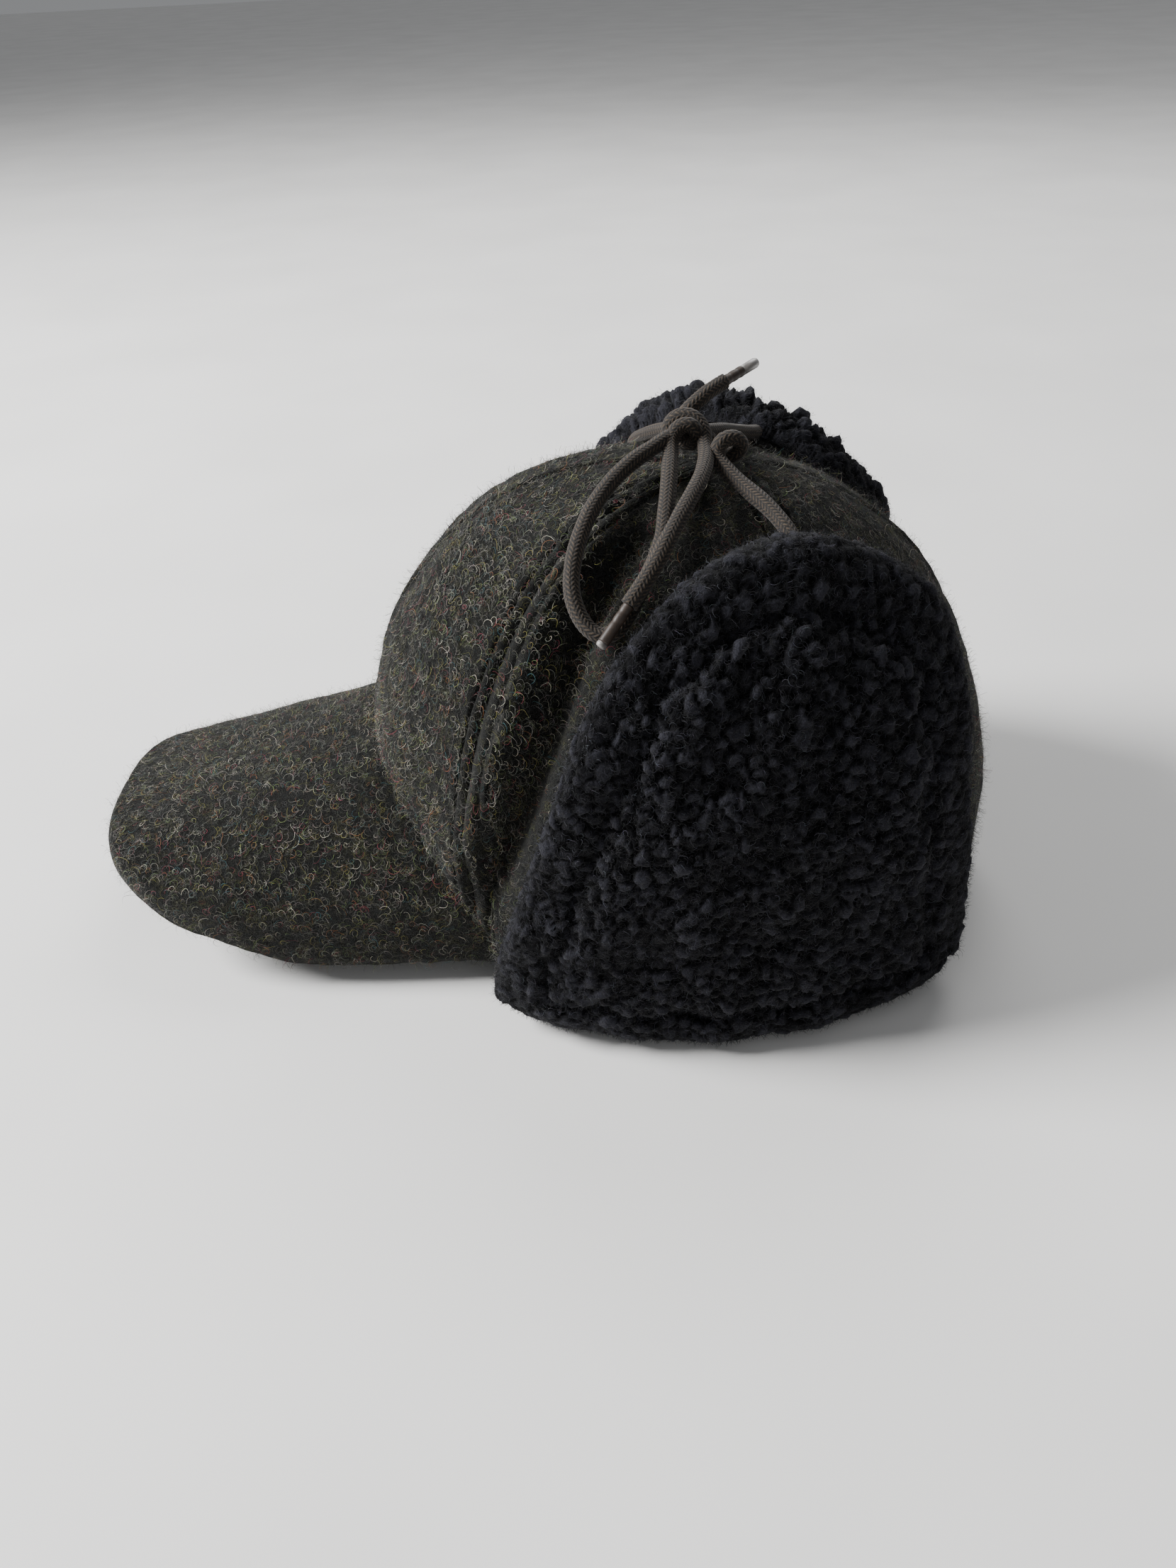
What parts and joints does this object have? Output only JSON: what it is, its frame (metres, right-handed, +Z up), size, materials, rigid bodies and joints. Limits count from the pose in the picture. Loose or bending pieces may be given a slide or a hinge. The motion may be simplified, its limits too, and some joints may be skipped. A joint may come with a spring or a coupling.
{
  "type": "trapper hat",
  "caption": "Wool trapper hat with a covered curved visor and two pile-lined ear flaps folded up and tied over the crown with a cord bow.",
  "frame": {"origin": "centre of the head opening, on the plane of the rim that the hat rests on", "axes": "+Z up through the crown; -Y towards the visor; +X towards the wearer's left"},
  "size_m": [0.1876, 0.2883, 0.1627],
  "materials": {
    "wool": "dark green melange melton wool",
    "sherpa_pile": "blue-black curly sherpa pile",
    "lining": "black satin lining",
    "sweatband": "black grosgrain",
    "board": "plain polyethylene sheet",
    "cord": "taupe braided cord",
    "aglet_brown": "brown film",
    "aglet_clear": "translucent film"
  },
  "bodies": {
    "crown": {"crown_front_left": "wool", "crown_front_right": "wool", "crown_side_left": "wool", "crown_side_right": "wool", "crown_back_left": "wool", "crown_back_right": "wool", "crown_lining": "lining", "sweatband": "sweatband", "visor_top_cloth": "wool", "visor_board": "board", "visor_under_cloth": "wool"},
    "left_flap": {"left_flap_cloth": "wool", "left_flap_pile": "sherpa_pile", "left_cord_tack": "cord"},
    "left_cord": {"left_cord_standing": "cord", "left_knot": "cord", "left_cord_loop": "cord", "left_cord_tail": "cord", "left_aglet": "aglet_brown"},
    "right_flap": {"right_flap_cloth": "wool", "right_flap_pile": "sherpa_pile", "right_cord_tack": "cord"},
    "right_cord": {"right_cord_standing": "cord", "right_knot": "cord", "right_cord_loop": "cord", "right_cord_tail": "cord", "right_aglet": "aglet_clear"}
  },
  "joints": [
    {"name": "left_flap_fold", "type": "hinge", "parent": "crown", "child": "left_flap", "pos_m": [0.06809, 0.01245, 0], "axis": [-0.1207, 0.9927, 0], "range_deg": [0, 150]},
    {"name": "left_cord_drop", "type": "hinge", "parent": "left_flap", "child": "left_cord", "pos_m": [0.044, 0.026, 0.1375], "axis": [-0.805, 0.3673, 0.4659], "range_deg": [0, 96]},
    {"name": "right_flap_fold", "type": "hinge", "parent": "crown", "child": "right_flap", "pos_m": [-0.06809, 0.01245, 0], "axis": [-0.1207, -0.9927, 0], "range_deg": [0, 150]},
    {"name": "right_cord_drop", "type": "hinge", "parent": "right_flap", "child": "right_cord", "pos_m": [-0.044, 0.026, 0.1375], "axis": [-0.805, -0.3673, -0.4659], "range_deg": [0, 96]}
  ],
  "couplings": [
    {"joint": "left_cord_drop", "follows": "left_flap_fold", "ratio": 0.64},
    {"joint": "right_cord_drop", "follows": "right_flap_fold", "ratio": 0.64}
  ]
}
